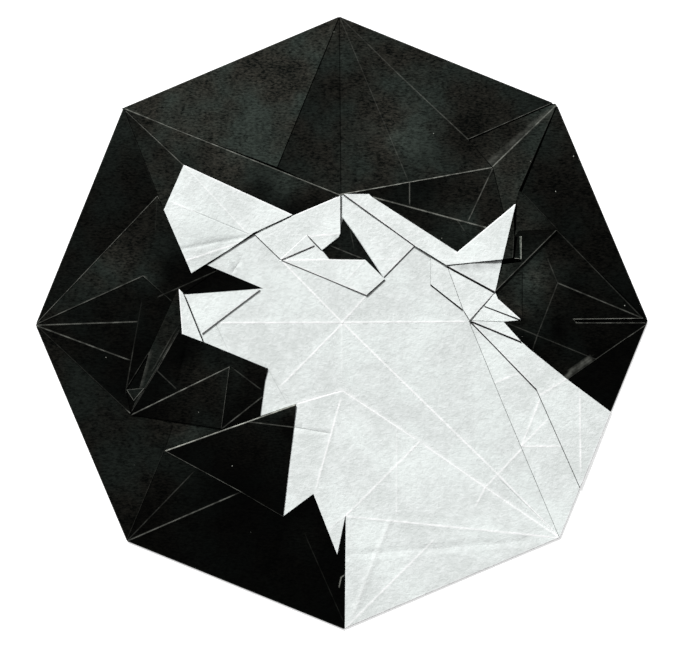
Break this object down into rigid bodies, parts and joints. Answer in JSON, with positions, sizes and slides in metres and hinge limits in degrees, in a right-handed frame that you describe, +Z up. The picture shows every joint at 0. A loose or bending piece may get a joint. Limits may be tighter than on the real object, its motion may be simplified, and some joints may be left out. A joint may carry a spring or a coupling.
{
  "type": "origami wolf head",
  "caption": "Flat-folded two-colour paper octagon whose white and black flaps form the head of a howling wolf; lies flat as a decoration.",
  "frame": {"origin": "centre of the octagon, on the plane the back of the sheet lies on", "axes": "+Z up out of the picture face, +Y towards the picture's top corner, +X towards the picture's right"},
  "size_m": [0.122, 0.122, 0.0012],
  "materials": {
    "folded_sheet": "uncoated two-colour paper, black on one side and white on the other, matt, with pale worn fold lines"
  },
  "bodies": {
    "root": {"folded_sheet": "folded_sheet"}
  },
  "joints": []
}
